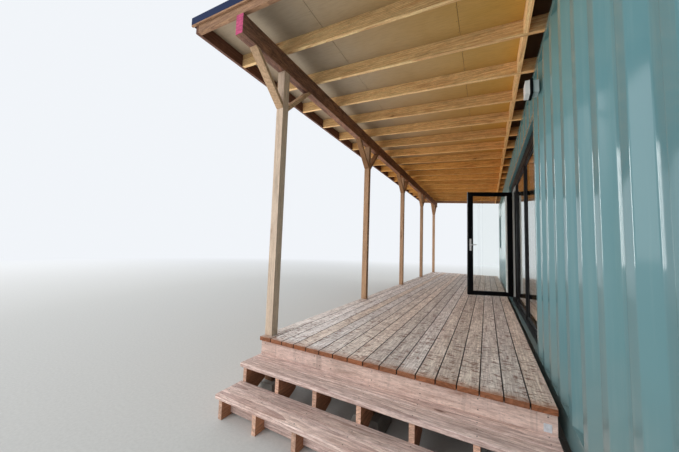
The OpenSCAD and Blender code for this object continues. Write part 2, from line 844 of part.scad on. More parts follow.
module container_piers() {
    color("#8d8d88") for (x = [wall_x, back_x - pier_w], i = [0:pier_rows - 1]) {
        y = cont_y0 + i * (cont_l - pier_w) / (pier_rows - 1);
        block([x, y, 0], [x + pier_w, y + pier_w, cont_lift]);
    }
}

// Steel frames welded into the wall's cut openings
module opening_frames() {
    x1 = wall_x + frame_back;
    color("#6f9294") {
        difference() {
            block([wall_x, open_y0 - reveal_w, wall_z0], [x1, open_y1 + reveal_w, open_z1 + reveal_w]);
            block([wall_x - 1, open_y0, wall_z0 - 1], [x1 + 1, open_y1, open_z1]);
        }
        difference() {
            block([wall_x, window_y0 - reveal_w, window_z0 - reveal_w],
                [x1, window_y1 + reveal_w, window_z1 + reveal_w]);
            block([wall_x - 1, window_y0, window_z0], [x1 + 1, window_y1, window_z1]);
        }
    }
}

lining_y0 = door_end_y + 30;
lining_y1 = cont_y1 - wall_build;

module lining_front() {
    x0 = wall_x + wall_build - lining_t;
    color("#e6e6e0") difference() {
        block([x0, lining_y0, floor_top], [x0 + lining_t, lining_y1, ceiling_z]);
        block([x0 - 1, open_y0, floor_top - 1], [x0 + lining_t + 1, open_y1, open_z1]);
        block([x0 - 1, window_y0, window_z0], [x0 + lining_t + 1, window_y1, window_z1]);
    }
}

module lining_back() {
    x0 = back_x - wall_build;
    color("#e6e6e0") block([x0, lining_y0, floor_top], [x0 + lining_t, lining_y1, ceiling_z]);
}

module lining_ends() {
    x0 = wall_x + wall_build;
    x1 = back_x - wall_build;
    color("#e6e6e0") for (y = [lining_y0, lining_y1 - lining_t])
        block([x0, y, floor_top], [x1, y + lining_t, ceiling_z]);
}

module ceiling_lining() {
    edge = wall_build - lining_t;
    color("#e6e6e0")
        block([wall_x + edge, lining_y0, ceiling_z], [back_x - edge, lining_y1, ceiling_z + lining_t]);
}

// Black frame of the glazed opening: two fixed lights, then the doorway with its stop
module glazing_frame() {
    x0 = frame_x;
    x1 = frame_x + frame_d;
    color("#17191b") difference() {
        block([x0, open_y0, floor_top], [x1, open_y1, open_z1]);
        for (i = [0:light_count - 1]) {
            y = open_y0 + frame_w + i * (light_w + frame_w);
            block([x0 - 1, y, light_z0], [x1 + 1, y + light_w, light_z1]);
        }
        block([x0 - 1, door_y0 + stop_w, light_z0], [x1 + 1, door_y1 - stop_w, light_z1 - stop_w]);
        block([x0 - 1, door_y0, light_z0], [x1 - stop_t, door_y1, light_z1]);
    }
}

sash_x = frame_x + sash_in;

module fixed_lights() {
    color("#1c1f21") for (i = [0:light_count - 1]) {
        y = open_y0 + frame_w + i * (light_w + frame_w);
        difference() {
            block([sash_x, y, light_z0], [sash_x + sash_d, y + light_w, light_z1]);
            block([sash_x - 1, y + sash_w, light_z0 + sash_w],
                [sash_x + sash_d + 1, y + light_w - sash_w, light_z1 - sash_w]);
        }
    }
}

module light_glass() {
    x = sash_x + (sash_d - glass_t) / 2;
    color("#c6dde0", 0.4) for (i = [0:light_count - 1]) {
        y = open_y0 + frame_w + i * (light_w + frame_w);
        block([x, y + sash_w, light_z0 + sash_w], [x + glass_t, y + light_w - sash_w, light_z1 - sash_w]);
    }
}

// Draws what is placed from the hinge, the closed leaf running away along -y, at its open angle
module on_leaf() {
    translate([hinge_x, hinge_y, leaf_z0]) rotate([0, 0, -leaf_open]) children();
}

leaf_x = frame_x - hinge_x;
leaf_y1 = -leaf_gap / 2;
leaf_y0 = leaf_y1 - leaf_w;

module door_leaf() {
    color("#17191b") on_leaf() {
        difference() {
            block([leaf_x, leaf_y0, 0], [leaf_x + leaf_t, leaf_y1, leaf_h]);
            block([leaf_x - 1, leaf_y0 + stile_w, leaf_rail_h],
                [leaf_x + leaf_t + 1, leaf_y1 - stile_w, leaf_h - leaf_rail_h]);
        }
        for (z = hinge_zs, side = [-1, 1]) translate([0, 0, z + side * (knuckle + 1) - knuckle / 2]) {
            cylinder(h = knuckle, r = hinge_r);
            block([-hinge_pad, -hinge_leaf, 0], [leaf_x, 0, knuckle]);
        }
    }
}

hinge_in = 200;
hinge_zs = [hinge_in, leaf_h / 2, leaf_h - hinge_in];
knuckle = 32;
hinge_leaf = 40;
hinge_pad = 3;

// The fixed knuckles and their plates on the door jamb
module door_hinges() {
    color("#2a2c2e") for (z = hinge_zs) translate([hinge_x, hinge_y, leaf_z0 + z - knuckle / 2]) {
        cylinder(h = knuckle, r = hinge_r);
        block([-hinge_pad, 0, 0], [leaf_x, hinge_leaf, knuckle]);
    }
}

module door_glass() {
    x = leaf_x + (leaf_t - glass_t) / 2;
    color("#c6dde0", 0.4) on_leaf()
        block([x, leaf_y0 + stile_w, leaf_rail_h], [x + glass_t, leaf_y1 - stile_w, leaf_h - leaf_rail_h]);
}

// Back plates and levers on both faces of the leaf
module door_handle() {
    y = leaf_y0 + stile_w / 2;
    color("#c9ccce") on_leaf() {
        translate([leaf_x, y, handle_up]) mirror([1, 0, 0]) lever_handle();
        translate([leaf_x + leaf_t, y, handle_up]) lever_handle();
    }
}

// A lever on its back plate, which stands on the plane x = 0
module lever_handle() {
    plate_t = 6;
    plate_w = 34;
    lever_l = 110;
    lever_r = 9;
    reach = 45;
    block([0, -plate_w / 2, -handle_h / 2], [plate_t, plate_w / 2, handle_h / 2]);
    rotate([0, 90, 0]) cylinder(h = reach, r = lever_r);
    translate([reach - lever_r, -lever_r, 0]) rotate([-90, 0, 0]) cylinder(h = lever_l, r = lever_r);
}

module window_frame() {
    color("#17191b") difference() {
        block([frame_x, window_y0, window_z0], [frame_x + frame_d, window_y1, window_z1]);
        block([frame_x - 1, window_y0 + window_frame_w, window_z0 + window_frame_w],
            [frame_x + frame_d + 1, window_y1 - window_frame_w, window_z1 - window_frame_w]);
    }
}

module window_glass() {
    x = frame_x + (frame_d - glass_t) / 2;
    color("#c6dde0", 0.4) block([x, window_y0 + window_frame_w, window_z0 + window_frame_w],
        [x + glass_t, window_y1 - window_frame_w, window_z1 - window_frame_w]);
}

// A square flood light: a box on the wall, a dark rim and a pale diffuser
module wall_light() {
    box_d = 45;
    rim_d = 25;
    face_d = 35;
    box_in = 15;
    face_in = 8;
    color("#b9bdbd") lamp_layer(0, box_d, lamp_rim - 2 * box_in);
    color("#1d1f20") lamp_layer(box_d, box_d + rim_d, lamp_rim);
    color("#f2f2ee") lamp_layer(box_d + rim_d, box_d + rim_d + face_d, lamp_rim - 2 * face_in);
}

// A square layer of the wall light between two distances from the wall
module lamp_layer(near, far, side) {
    translate([wall_x, deck_y0 + lamp_y, cont_top - lamp_down])
        block([-far, -side / 2, -side / 2], [-near, side / 2, side / 2]);
}

deck_boards();
deck_joists();
deck_rim();
deck_bearers();
deck_stubs();
pier_blocks();
upper_tread();
lower_tread();
step_stringers();
step_rail();
roof_posts();
knee_braces();
roof_beam();
rafters();
roof_blocking();
eave_boards();
barge_rafters();
barge_strips();
roof_sheathing();
roof_covering();
roof_trim();
roof_plates();
side_wall_near();
side_wall_header();
side_wall_far();
back_wall();
end_wall();
cargo_door_left();
cargo_door_right();
cargo_hinges();
locking_bars();
container_roof();
container_floor();
top_rails();
bottom_rails();
cross_members();
door_end_frame();
blind_end_frame();
corner_castings();
container_piers();
opening_frames();
lining_front();
lining_back();
lining_ends();
ceiling_lining();
glazing_frame();
fixed_lights();
light_glass();
door_leaf();
door_glass();
door_handle();
door_hinges();
window_frame();
window_glass();
wall_light();
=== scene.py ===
"""The looks of a shipping container cabin with a timber veranda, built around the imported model.

Timber and steel nodes are dressed: a copy of the node's mesh gets rounded edges, smooth bends and grain
coordinates, and stands for the node. Nails, screws, seals and the like go where the frame's boxes put them.
"""

import json
import math
import random

import bmesh
import bpy
from mathutils import Matrix, Vector
from mathutils.bvhtree import BVHTree


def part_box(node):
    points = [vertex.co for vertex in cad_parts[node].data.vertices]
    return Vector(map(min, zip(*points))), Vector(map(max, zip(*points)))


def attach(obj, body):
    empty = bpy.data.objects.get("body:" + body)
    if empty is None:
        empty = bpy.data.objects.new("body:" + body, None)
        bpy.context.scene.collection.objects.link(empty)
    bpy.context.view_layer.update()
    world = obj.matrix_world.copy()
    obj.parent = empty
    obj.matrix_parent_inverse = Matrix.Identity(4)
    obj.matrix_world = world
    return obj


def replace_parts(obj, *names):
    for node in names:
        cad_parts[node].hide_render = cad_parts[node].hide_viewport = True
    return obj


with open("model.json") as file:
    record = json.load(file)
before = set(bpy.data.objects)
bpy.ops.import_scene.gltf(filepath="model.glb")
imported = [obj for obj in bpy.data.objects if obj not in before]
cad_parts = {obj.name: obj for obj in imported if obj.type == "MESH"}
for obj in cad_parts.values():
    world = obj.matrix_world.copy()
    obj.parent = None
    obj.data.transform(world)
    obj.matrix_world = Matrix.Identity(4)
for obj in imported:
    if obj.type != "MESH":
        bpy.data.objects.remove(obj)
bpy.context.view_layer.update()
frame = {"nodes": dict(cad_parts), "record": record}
CABIN = "cabin"
DOOR = "glass_door"
X, Y, Z = 0, 1, 2

# Camera of the photograph: a wide lens held close beside the container's wall, looking along the veranda
IMAGE_WIDTH = 679
FOCAL_PIXELS = 272.86
SENSOR_MM = 36
CAMERA_PLACE = (-0.2533, -6.2618, 1.4607)
CAMERA_TURN = 0.4954
CAMERA_TILT = 0.0756
CAMERA_ROLL = -0.0332

# The plain background: its strength as it is seen and mirrored, and the weaker one with which it lights
BACKGROUND = (0.93, 0.96, 1.0, 1.0)
BACKGROUND_STRENGTH = 0.95
WORLD_LIGHT = 0.68

# Sizes in metres that the frame's boxes don't give. First an eased edge, and a nail's head
EDGE = 0.0016
NAIL_R = 0.0042
NAIL_UP = 0.0008

# From the near rim board's outer end to its joint
RIM_JOINT = 0.665

# Rubber beads round a pane: how far they stand out from it, their width on it, and the rounding of rubber
BEAD_OUT = 0.006
BEAD_WIDTH = 0.009
RUBBER_EDGE = 0.002

# The door's leaf as it stands at rest, and the members of leaf, frame and fixed lights
LEAF_OPEN = math.radians(68)
LEAF_T = 0.045
LEAF_STILE = 0.100
FRAME_MEMBER = 0.050
SASH_MEMBER = 0.040

# How far out from the wall the wall light's box ends, and then its rim
LAMP_BOX_OUT = 0.0449
LAMP_RIM_OUT = 0.0701

# A start well clear of the roof, for rays that look for its surface
ABOVE = 1.0


def place_camera():
    camera = bpy.data.objects.new("camera", bpy.data.cameras.new("camera"))
    camera.data.sensor_width = SENSOR_MM
    camera.data.lens = FOCAL_PIXELS * SENSOR_MM / IMAGE_WIDTH
    camera.data.clip_start = 0.02
    camera.data.clip_end = 200
    turn = Matrix.Rotation(CAMERA_TURN, 4, "Z") @ Matrix.Rotation(CAMERA_TILT, 4, "X")
    turn = turn @ Matrix.Rotation(CAMERA_ROLL, 4, "Y") @ Matrix.Rotation(math.pi / 2, 4, "X")
    camera.matrix_world = Matrix.Translation(CAMERA_PLACE) @ turn
    bpy.context.scene.collection.objects.link(camera)
    bpy.context.scene.camera = camera


def srgb(red, green, blue):
    """A colour written as 0 to 255 screen values, as the linear values that the nodes take."""
    values = [v / 255 for v in (red, green, blue)]
    return tuple(v / 12.92 if v <= 0.04045 else ((v + 0.055) / 1.055) ** 2.4 for v in values) + (1.0,)


class Surface:
    """A material's node tree around one Principled shader."""

    def __init__(self, name):
        self.material = bpy.data.materials.new(name)
        self.material.use_nodes = True
        self.tree = self.material.node_tree
        self.tree.nodes.clear()
        output = self.tree.nodes.new("ShaderNodeOutputMaterial")
        self.shader = self.tree.nodes.new("ShaderNodeBsdfPrincipled")
        self.tree.links.new(self.shader.outputs[0], output.inputs[0])

    def fill(self, node, index, value):
        if isinstance(value, bpy.types.NodeSocket):
            self.tree.links.new(value, node.inputs[index])
        else:
            node.inputs[index].default_value = value

    def node(self, kind, inputs=None, **settings):
        node = self.tree.nodes.new(kind)
        for name, value in settings.items():
            setattr(node, name, value)
        for index, value in (inputs or {}).items():
            self.fill(node, index, value)
        return node

    def set(self, **inputs):
        """Sets the shader's own sockets: an underscore in a name stands for a space."""
        for name, value in inputs.items():
            self.fill(self.shader, name.replace("_", " "), value)

    def attribute(self, name, output="Vector"):
        return self.node("ShaderNodeAttribute", attribute_name=name).outputs[output]

    def place(self):
        return self.node("ShaderNodeTexCoord").outputs["Object"]

    def part(self, vector, axis):
        return self.node("ShaderNodeSeparateXYZ", {0: vector}).outputs[axis]

    def scaled(self, vector, factors):
        return self.node("ShaderNodeVectorMath", {0: vector, 1: factors}, operation="MULTIPLY").outputs[0]

    def math(self, operation, first, second=0.0, third=0.0):
        return self.node("ShaderNodeMath", {0: first, 1: second, 2: third}, operation=operation).outputs[0]

    def noise(self, vector, scale, detail=3.0, roughness=0.5, distortion=0.0):
        inputs = {"Vector": vector, "Scale": scale, "Detail": detail, "Roughness": roughness,
                  "Distortion": distortion}
        return self.node("ShaderNodeTexNoise", inputs).outputs[0]

    def grained(self, grain, along, across, detail=3.0, roughness=0.5, distortion=0.0):
        """Noise with so many marks a metre along a board and across it."""
        return self.noise(self.scaled(grain, (along, across, across)), 1.0, detail, roughness, distortion)

    def cells(self, vector, scale, output="Distance", randomness=1.0):
        inputs = {"Vector": vector, "Scale": scale, "Randomness": randomness}
        return self.node("ShaderNodeTexVoronoi", inputs).outputs[output]

    def span(self, value, low, high, out_low=0.0, out_high=1.0):
        """Maps low..high to out_low..out_high, with what lies outside held at the ends."""
        inputs = {0: value, 1: low, 2: high, 3: out_low, 4: out_high}
        return self.node("ShaderNodeMapRange", inputs).outputs[0]

    def mix(self, factor, first, second, blend="MIX"):
        inputs = {0: factor, 6: first, 7: second}
        return self.node("ShaderNodeMix", inputs, data_type="RGBA", blend_type=blend).outputs[2]

    def levelled(self, level, colour):
        """A colour times a level."""
        grey = self.node("ShaderNodeCombineColor", {0: level, 1: level, 2: level}).outputs[0]
        return self.mix(1.0, colour, grey, "MULTIPLY")

    def shaded(self, factor, colour, amount):
        """Darkens a colour by amount where factor is 1."""
        return self.levelled(self.math("SUBTRACT", 1.0, self.math("MULTIPLY", factor, amount)), colour)

    def shaded_far(self, colour, place, painted_far_shade):
        """Painted shade towards the far end: multiplies a colour by a tone that comes in between two places
        along y.
        """
        tone, tone_from, tone_to = painted_far_shade
        deep = self.mix(1.0, colour, tone, "MULTIPLY")
        return self.mix(self.span(self.part(place, Y), tone_from, tone_to), colour, deep)

    def bump(self, height, distance, strength=1.0, under=None):
        inputs = {"Strength": strength, "Distance": distance, "Height": height}
        if under is not None:
            inputs["Normal"] = under
        return self.node("ShaderNodeBump", inputs).outputs[0]


def growth_rings(s, grain):
    """Growth rings round a heart line that wanders along the board, each from 0 up to 1."""
    warp = s.grained(grain, 0.5, 4.0, 2.0)
    cross = s.scaled(grain, (0.012, 1.0, 1.0))
    radius = s.node("ShaderNodeVectorMath", {0: cross}, operation="LENGTH").outputs["Value"]
    ring = s.math("FRACT", s.math("MULTIPLY", s.math("MULTIPLY_ADD", warp, 0.04, radius), 80.0))
    return s.math("POWER", ring, 2.2)


def worn_marks(s, grain, colour, dark, mottle, marks):
    """Short dark and pale marks of wear."""
    worn = s.grained(grain, *marks, 7.0, 0.78)
    colour = s.mix(s.span(worn, 0.5, 0.62, 0.0, mottle), colour, s.shaded(1.0, dark, 0.2))
    return s.levelled(s.span(worn, 0.42, 0.5, 1.0 + mottle * 0.6, 1.0), colour)


def saw_marks(s, grain, blotch, colour, dark, saw):
    """Dark marks across the board, which come and go in blotches."""
    sawn = s.grained(grain, 44.0, 15.0, 4.0, 0.62, 0.6)
    sawn = s.math("MULTIPLY", s.span(sawn, 0.51, 0.6), s.span(blotch, 0.36, 0.52, 0.25, 1.0))
    return s.mix(s.math("MULTIPLY", sawn, saw), colour, dark)


def front_stain(s, place, blotch, colour, front):
    """Stains the boards with a colour at their near ends, with a ragged border."""
    front_colour, front_from, front_to = front
    near = s.math("MULTIPLY_ADD", blotch, 0.16, s.math("SUBTRACT", s.part(place, Y), 0.08))
    return s.mix(s.span(near, front_from, front_to, 0.7, 0.0), colour, front_colour)


def knotted(s, grain, colour, dark, knots):
    """Sparse dark ovals with a darker middle, and wood that turns reddish round them."""
    spots = s.cells(s.scaled(grain, (1.9, 7.0, 7.0)), 1.0)
    chosen = s.span(s.grained(grain, 0.7, 2.0, 0.0), 0.46, 0.53)
    halo = s.math("MULTIPLY", s.span(spots, 0.06, 0.24, 1.0, 0.0), chosen)
    knot = s.math("MULTIPLY", s.span(spots, 0.045, 0.1, 1.0, 0.0), chosen)
    colour = s.mix(s.math("MULTIPLY", halo, knots * 0.5), colour, s.mix(0.4, dark, srgb(150, 92, 50)))
    return s.mix(s.math("MULTIPLY", knot, knots), colour, srgb(82, 46, 28))


def end_grain(s, place, ring, colour, end):
    """The cut ends' own colour, with the rings across it and patches of damp."""
    face = s.mix(s.math("MULTIPLY", ring, 0.5), end, s.mix(0.6, end, srgb(70, 38, 24)))
    patchy = s.noise(s.scaled(place, (22.0, 22.0, 60.0)), 1.0, 4.0, 0.7)
    face = s.levelled(s.span(patchy, 0.38, 0.62, 1.15, 0.72), face)
    return s.mix(s.attribute("end", "Fac"), colour, face)


def board_tint(s, colour, hues):
    """Each board's own shade, and by hues also its own cooler or warmer hue."""
    tint = s.attribute("tint", "Fac")
    colour = s.levelled(s.span(tint, 0.0, 1.0, 0.84, 1.14), colour)
    if not hues:
        return colour
    hue = s.mix(s.math("FRACT", s.math("MULTIPLY", tint, 7.0)), srgb(246, 250, 255), srgb(255, 246, 236))
    return s.mix(hues, colour, hue, "MULTIPLY")


def timber(name, light, dark, grey=None, greyed=0.0, patches=(1.1, 6.0), knots=0.5, rings=0.4, streaks=0.5,
           stains=0.3, drips=0.0, mottle=0.25, marks=(11.0, 60.0), saw=0.0, rough=0.75, end=None, front=None,
           sides=0.0, hues=0.0, painted_far_shade=None):
    """Softwood with growth rings, fibres, checks, knots and stains, read along each board's own grain.

    greyed is how far patches turn to the colour grey, and mottle is the strength of the worn marks. patches
    and marks are their numbers a metre along the board and across it. drips is how dark the streaks are that
    water leaves down a face, and saw how dark the saw's marks across the board are. end is the colour of cut
    ends. front is a colour that stains the near ends, and two places along y between which it fades. sides
    is how much darker the narrow faces are, where boards lie side by side: painted shade in the gaps, partly
    dirt on the board edges. hues is how far each board's hue goes to a cooler or warmer one. The last
    argument
    is painted shade towards the far end: a tone and two places along y between which it comes in.
    """
    s = Surface(name)
    grain = s.attribute("grain")
    place = s.place()
    ring = growth_rings(s, grain)
    fibre = s.grained(grain, 7.0, 300.0, 3.0, 0.6)
    streak = s.grained(grain, 2.4, 60.0, 4.0, 0.65)
    check = s.span(s.grained(grain, 3.5, 380.0, 2.0), 0.64, 0.72)
    blotch = s.grained(grain, 2.6, 11.0, 6.0, 0.68)
    speck = s.span(s.grained(grain, 42.0, 110.0, 2.0), 0.6, 0.72)
    colour = s.mix(s.math("MULTIPLY", ring, rings), light, dark)
    colour = s.mix(s.span(fibre, 0.35, 0.75, 0.0, streaks * 0.7), colour, dark)
    colour = s.mix(s.span(streak, 0.48, 0.72, 0.0, streaks), colour, dark)
    if grey is not None:
        patch = s.grained(grain, *patches, 5.0, 0.65)
        colour = s.mix(s.span(patch, 0.3, 0.65, greyed * 0.4, greyed), colour, grey)
    colour = s.shaded(s.span(blotch, 0.5, 0.72), colour, stains)
    colour = s.shaded(speck, colour, stains * 0.8)
    colour = s.shaded(check, colour, min(0.75, streaks))
    if drips:
        run = s.noise(s.scaled(place, (16.0, 16.0, 0.9)), 1.0, 3.0, 0.6)
        colour = s.shaded(s.span(run, 0.56, 0.72), colour, drips)
    colour = worn_marks(s, grain, colour, dark, mottle, marks)
    if saw:
        colour = saw_marks(s, grain, blotch, colour, dark, saw)
    if front is not None:
        colour = front_stain(s, place, blotch, colour, front)
    colour = knotted(s, grain, colour, dark, knots)
    if end is not None:
        colour = end_grain(s, place, ring, colour, end)
    # Painted shade in the gaps between boards, partly dirt on their edges: the narrow faces are darker
    colour = s.shaded(s.attribute("side", "Fac"), colour, sides)
    colour = board_tint(s, colour, hues)
    # Painted shade towards the far end
    if painted_far_shade is not None:
        colour = s.shaded_far(colour, place, painted_far_shade)
    fine = s.bump(fibre, 0.0006, 0.7)
    cracked = s.bump(check, -0.0008, 0.8, fine)
    s.set(Base_Color=colour, Normal=s.bump(ring, 0.0008, 0.4, cracked))
    s.set(Roughness=s.span(blotch, 0.3, 0.8, rough - 0.1, rough + 0.1))
    s.shader.inputs["Specular IOR Level"].default_value = 0.2
    return s.material


def sheet_board(name, far, near, turn_from, turn_to, painted_shade_colour, painted_shade_from, painted_far_shade):
    """Smooth roof sheathing, whose colour far at the eave turns to near towards the wall.

    Over the container, past a place along x, it has one dark colour: painted shade, where the roof lies in
    deep shade.
    """
    s = Surface(name)
    place = s.place()
    across = s.part(place, X)
    cloud = s.noise(place, 1.7, 4.0, 0.6)
    fine = s.noise(s.scaled(place, (8.0, 90.0, 90.0)), 1.0, 3.0)
    wander = s.math("MULTIPLY_ADD", cloud, 0.8, s.math("SUBTRACT", across, 0.4))
    colour = s.mix(s.span(wander, turn_from, turn_to), far, near)
    colour = s.shaded(s.span(cloud, 0.4, 0.7), colour, 0.14)
    colour = s.shaded(s.span(fine, 0.45, 0.7), colour, 0.12)
    # Painted shade towards the far end
    colour = s.shaded_far(colour, place, painted_far_shade)
    # Painted shade: one dark colour over the container, where the roof lies in deep shade
    colour = s.mix(s.span(across, painted_shade_from, painted_shade_from + 0.05), colour, painted_shade_colour)
    s.set(Base_Color=colour, Roughness=0.7, Normal=s.bump(fine, 0.0004, 0.5))
    s.shader.inputs["Specular IOR Level"].default_value = 0.3
    return s.material


def paint(name, colour, pale, high=None, roughness=0.38, streaks=0.3, gloss=0.0):
    """Paint on pressed steel: clouds, streaks that run down and dust near the ground, under a glossy coat. A
    third colour, if given, is a painted reflection that comes in towards the top.
    """
    s = Surface(name)
    place = s.place()
    height = s.part(place, Z)
    streak = s.noise(s.scaled(place, (18.0, 18.0, 0.8)), 1.0, 4.0, 0.6)
    cloud = s.noise(place, 1.3, 3.0)
    tone = s.mix(s.span(cloud, 0.35, 0.7, 0.0, 0.35), colour, s.mix(0.4, colour, pale))
    tone = s.mix(s.span(streak, 0.52, 0.8, 0.0, streaks), tone, pale)
    # Painted reflection: towards the top the paint turns to the colour high
    if high is not None:
        tone = s.mix(s.span(s.math("ADD", height, cloud), 2.7, 3.7, 0.0, 0.6), tone, high)
    dust = s.math("MULTIPLY", s.span(height, 0.4, 1.1, 0.5, 0.0), s.span(cloud, 0.3, 0.7))
    tone = s.mix(dust, tone, srgb(150, 146, 134))
    s.set(Base_Color=tone, Roughness=s.span(streak, 0.4, 0.8, roughness, roughness + 0.12))
    s.shader.inputs["Specular IOR Level"].default_value = 0.0
    s.shader.inputs["Coat Weight"].default_value = gloss
    s.shader.inputs["Coat Roughness"].default_value = 0.1
    return s.material


def plain_metal(name, colour, metallic, roughness, mottle=0.15, grain_scale=60.0, specular=0.5):
    """Powder coat, zinc or satin metal with a slight mottle."""
    s = Surface(name)
    place = s.place()
    patch = s.noise(place, grain_scale * 0.2, 3.0)
    fine = s.noise(place, grain_scale * 6, 2.0)
    s.set(Base_Color=s.shaded(s.span(patch, 0.35, 0.65), colour, mottle))
    s.set(Roughness=s.span(patch, 0.3, 0.7, roughness, roughness + 0.1), Normal=s.bump(fine, 0.00015, 0.5))
    s.shader.inputs["Metallic"].default_value = metallic
    s.shader.inputs["Specular IOR Level"].default_value = specular
    return s.material


def board_paint(name, colour, roughness=0.6, joint_pitch=None, joint_width=0.003):
    """Painted board with fine roller texture, and a joint line at every joint_pitch metres along it."""
    s = Surface(name)
    place = s.place()
    cloud = s.noise(place, 1.1, 4.0, 0.6)
    roller = s.noise(place, 180.0, 2.0)
    tone = s.shaded(s.span(cloud, 0.3, 0.75), colour, 0.1)
    normal = s.bump(roller, 0.0003, 0.5)
    if joint_pitch:
        along = s.math("FRACT", s.math("DIVIDE", s.part(place, Y), joint_pitch))
        from_joint = s.math("ABSOLUTE", s.math("SUBTRACT", along, 0.5))
        line = s.span(from_joint, 0.0, joint_width / joint_pitch, 1.0, 0.0)
        tone = s.shaded(line, tone, 0.45)
        normal = s.bump(line, -0.002, 0.8, normal)
    s.set(Base_Color=tone, Roughness=roughness, Normal=normal)
    return s.material


def concrete(name):
    s = Surface(name)
    place = s.place()
    cloud = s.noise(place, 4.0, 6.0, 0.7)
    pores = s.cells(place, 90.0)
    colour = s.mix(s.span(cloud, 0.3, 0.7), srgb(168, 166, 160), srgb(124, 122, 116))
    colour = s.mix(s.span(pores, 0.0, 0.12, 0.5, 0.0), colour, srgb(78, 76, 72))
    s.set(Base_Color=colour, Roughness=0.9, Normal=s.bump(cloud, 0.004, 0.5, s.bump(pores, 0.0012, 0.4)))
    return s.material


def clear_glass(name):
    s = Surface(name)
    smear = s.noise(s.scaled(s.place(), (3.0, 3.0, 1.0)), 1.0, 3.0)
    s.set(Base_Color=srgb(250, 254, 252), Roughness=s.span(smear, 0.4, 0.8, 0.0, 0.05))
    s.shader.inputs["Transmission Weight"].default_value = 1.0
    s.shader.inputs["IOR"].default_value = 1.5
    return s.material


def studio_floor(size=120, fade_from=9.0, fade_to=26.0):
    """A pale floor that takes the object's shadow and fades, as it is seen, into the plain background."""
    s = Surface("studio_floor")
    place = s.place()
    flecks = s.noise(place, 40.0, 4.0, 0.7)
    s.set(Base_Color=s.mix(s.span(flecks, 0.3, 0.7), srgb(214, 214, 211), srgb(204, 204, 201)), Roughness=1.0)
    s.shader.inputs["Specular IOR Level"].default_value = 0.0
    reach = s.node("ShaderNodeVectorMath", {0: place}, operation="LENGTH").outputs["Value"]
    rays = s.node("ShaderNodeLightPath").outputs
    seen = s.math("MAXIMUM", rays["Is Camera Ray"], rays["Is Glossy Ray"])
    seen = s.math("MAXIMUM", seen, rays["Is Transmission Ray"])
    fade = s.math("MULTIPLY", s.span(reach, fade_from, fade_to), seen)
    plain = s.node("ShaderNodeEmission", {0: BACKGROUND, 1: BACKGROUND_STRENGTH}).outputs[0]
    blend = s.node("ShaderNodeMixShader", {0: fade, 1: s.shader.outputs[0], 2: plain}).outputs[0]
    s.tree.links.new(blend, s.tree.nodes["Material Output"].inputs[0])
    mesh = bpy.data.meshes.new("studio_floor")
    half = size / 2
    ring = [(-half, -half, 0), (half, -half, 0), (half, half, 0), (-half, half, 0)]
    mesh.from_pydata(ring, [], [(0, 1, 2, 3)])
    mesh.materials.append(s.material)
    floor = bpy.data.objects.new("studio_floor", mesh)
    bpy.context.scene.collection.objects.link(floor)


def studio_world():
    """The background's colour all round, weaker where it lights the object than where it is seen."""
    world = bpy.data.worlds.new("studio")
    world.use_nodes = True
    tree = world.node_tree
    rays = tree.nodes.new("ShaderNodeLightPath").outputs
    strength = tree.nodes.new("ShaderNodeMapRange")
    strength.inputs[3].default_value = BACKGROUND_STRENGTH
    strength.inputs[4].default_value = WORLD_LIGHT
    tree.links.new(rays["Is Diffuse Ray"], strength.inputs[0])
    tree.links.new(strength.outputs[0], tree.nodes["Background"].inputs[1])
    tree.nodes["Background"].inputs[0].default_value = BACKGROUND
    bpy.context.scene.world = world


def area_light(name, place, target, width, height, watts, glossy=True, diffuse=True):
    light = bpy.data.objects.new(name, bpy.data.lights.new(name, "AREA"))
    light.data.shape = "RECTANGLE"
    light.data.size = width
    light.data.size_y = height
    light.data.energy = watts
    light.location = place
    light.rotation_euler = (Vector(target) - Vector(place)).to_track_quat("-Z", "Y").to_euler()
    light.visible_camera = False
    light.visible_diffuse = diffuse
    light.visible_glossy = glossy
    light.visible_transmission = glossy
    bpy.context.scene.collection.objects.link(light)


def studio_lamps():
    """Soft lamps on all sides and one that shines up under the roof. The last shows in reflections only."""
    area_light("key", (-10.5, -25.5, 13.5), (-0.5, 0.0, 1.4), 15.0, 15.0, 2650.0)
    area_light("left", (-24.0, -6.0, 8.4), (0.0, -2.0, 1.5), 21.0, 15.0, 1750.0)
    area_light("far", (-7.5, 24.0, 7.5), (-1.2, 3.0, 0.8), 12.0, 9.0, 480.0, glossy=False)
    area_light("behind", (19.5, 12.0, 13.5), (1.0, 0.0, 1.5), 16.5, 16.5, 2800.0)
    area_light("ground_bounce", (-7.0, 0.0, 0.02), (-7.0, 0.0, 3.0), 8.5, 14.0, 540.0, glossy=False)
    area_light("sheen", (-12.3, 11.2, 4.2), (0.0, -2.0, 3.0), 4.4, 6.6, 900.0, diffuse=False)


def studio():
    studio_floor()
    studio_world()
    studio_lamps()
    bpy.context.scene.view_settings.view_transform = "Standard"


def islands(bm):
    """A mesh's separate solids, each as a list of its vertices."""
    seen = set()
    groups = []
    for start in bm.verts:
        if start in seen:
            continue
        stack = [start]
        seen.add(start)
        group = []
        while stack:
            vertex = stack.pop()
            group.append(vertex)
            for edge in vertex.link_edges:
                other = edge.other_vert(vertex)
                if other not in seen:
                    seen.add(other)
                    stack.append(other)
        groups.append(group)
    return groups


def corners(places):
    """The lowest and highest corners of a list of points."""
    return [Vector([pick(p[a] for p in places) for a in (X, Y, Z)]) for pick in (min, max)]


def longest(low, high):
    """The axis along which a box is longest."""
    return max((X, Y, Z), key=lambda axis: high[axis] - low[axis])


